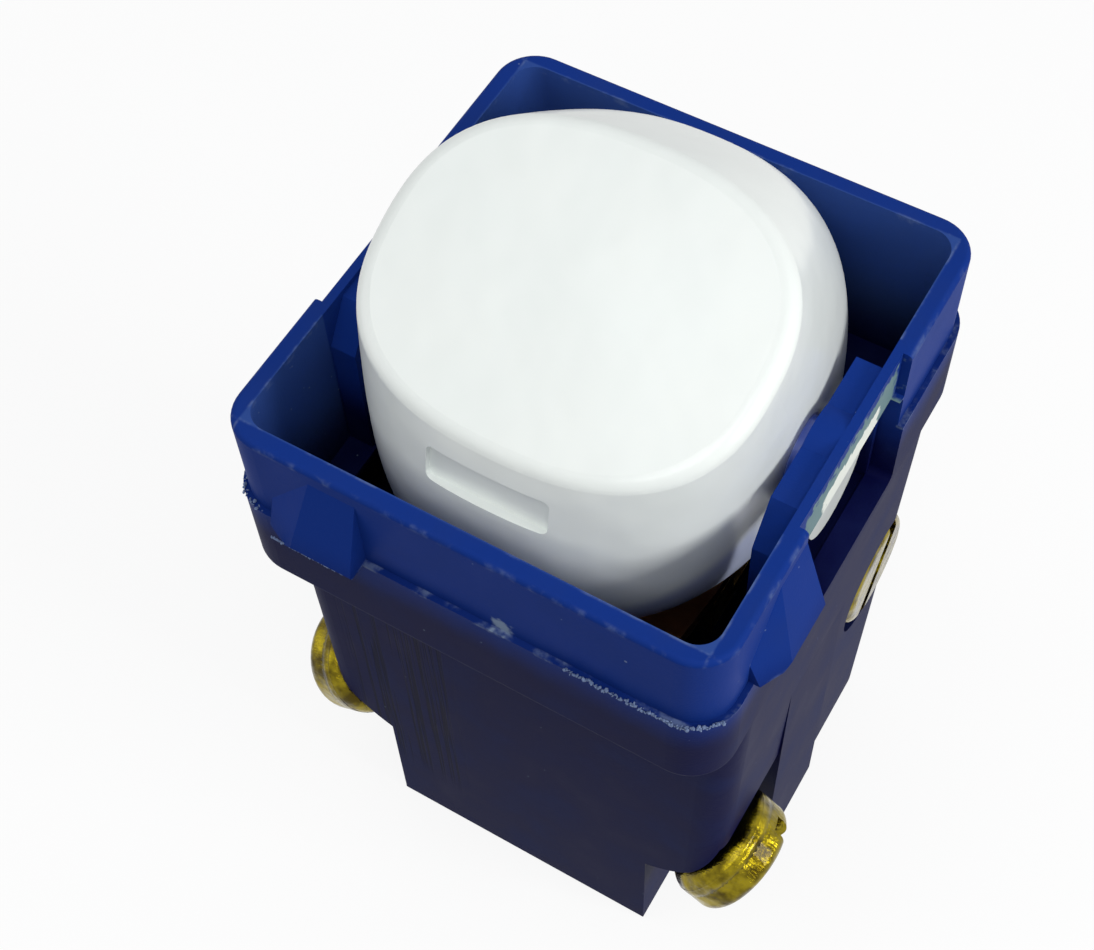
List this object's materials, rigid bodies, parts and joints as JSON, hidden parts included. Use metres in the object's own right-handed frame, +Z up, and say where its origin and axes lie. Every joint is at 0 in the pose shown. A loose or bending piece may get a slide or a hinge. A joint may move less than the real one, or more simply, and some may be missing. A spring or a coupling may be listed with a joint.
{
  "type": "double-pole switch",
  "caption": "Clip-in wall switch module with a white tilting rocker in a blue tub and brass terminal screws.",
  "frame": {"origin": "centre of the base's underside", "axes": "+Z up through the rocker, -Y towards the rocker's pressed edge, +X along the rocker's pivot"},
  "size_m": [0.0254, 0.0248, 0.0419],
  "materials": {
    "housing": "satin moulded",
    "rocker": "satin moulded",
    "screw": "bright",
    "terminal": "plain",
    "blade": "plain",
    "contact": "plain",
    "plunger": "plain",
    "spring": "plain"
  },
  "bodies": {
    "housing": {"housing": "housing", "line_terminal_left": "terminal", "load_terminal_left": "terminal", "fixed_contact_left": "contact", "line_terminal_right": "terminal", "load_terminal_right": "terminal", "fixed_contact_right": "contact"},
    "rocker": {"rocker": "rocker", "plunger_spring_left": "spring", "plunger_spring_right": "spring"},
    "plunger_left": {"plunger_left": "plunger"},
    "contact_blade_left": {"contact_blade_left": "blade", "moving_contact_left": "contact"},
    "plunger_right": {"plunger_right": "plunger"},
    "contact_blade_right": {"contact_blade_right": "blade", "moving_contact_right": "contact"},
    "terminal_screw_front_left": {"terminal_screw_front_left": "screw"},
    "terminal_screw_front_right": {"terminal_screw_front_right": "screw"},
    "terminal_screw_back_left": {"terminal_screw_back_left": "screw"},
    "terminal_screw_back_right": {"terminal_screw_back_right": "screw"}
  },
  "joints": [
    {"name": "rocker_tilt", "type": "hinge", "parent": "housing", "child": "rocker", "pos_m": [0, 0, 0.0325], "axis": [1, 0, 0], "range_deg": [-40.6, 0]},
    {"name": "blade_swing_left", "type": "hinge", "parent": "housing", "child": "contact_blade_left", "pos_m": [-0.0039, 0, 0.02286], "axis": [1, 0, 0], "range_deg": [0, 12]},
    {"name": "plunger_slide_left", "type": "slide", "parent": "rocker", "child": "plunger_left", "axis": [0, -0.3469, 0.9379], "range_m": [0, 0.0008], "stiffness_N_per_m": 300, "springref_m": -0.002, "deforming": ["plunger_spring_left"]},
    {"name": "blade_swing_right", "type": "hinge", "parent": "housing", "child": "contact_blade_right", "pos_m": [0.0039, 0, 0.02286], "axis": [1, 0, 0], "range_deg": [0, 12]},
    {"name": "plunger_slide_right", "type": "slide", "parent": "rocker", "child": "plunger_right", "axis": [0, -0.3469, 0.9379], "range_m": [0, 0.0008], "stiffness_N_per_m": 300, "springref_m": -0.002, "deforming": ["plunger_spring_right"]},
    {"name": "turn_front_left", "type": "hinge", "parent": "housing", "child": "terminal_screw_front_left", "pos_m": [-0.0039, -0.0067, 0.01221], "axis": [-0.848, 0, -0.5299], "range_deg": [0, 720]},
    {"name": "turn_front_right", "type": "hinge", "parent": "housing", "child": "terminal_screw_front_right", "pos_m": [0.0039, -0.0067, 0.01221], "axis": [0.848, 0, -0.5299], "range_deg": [0, 720]},
    {"name": "turn_back_left", "type": "hinge", "parent": "housing", "child": "terminal_screw_back_left", "pos_m": [-0.0039, 0.0067, 0.0144], "axis": [-1, 0, 0], "range_deg": [0, 720]},
    {"name": "turn_back_right", "type": "hinge", "parent": "housing", "child": "terminal_screw_back_right", "pos_m": [0.0039, 0.0067, 0.0144], "axis": [1, 0, 0], "range_deg": [0, 720]}
  ],
  "couplings": [
    {"joint": "blade_swing_left", "follows": "rocker_tilt", "ratio": -0.29557},
    {"joint": "blade_swing_right", "follows": "rocker_tilt", "ratio": -0.29557}
  ]
}
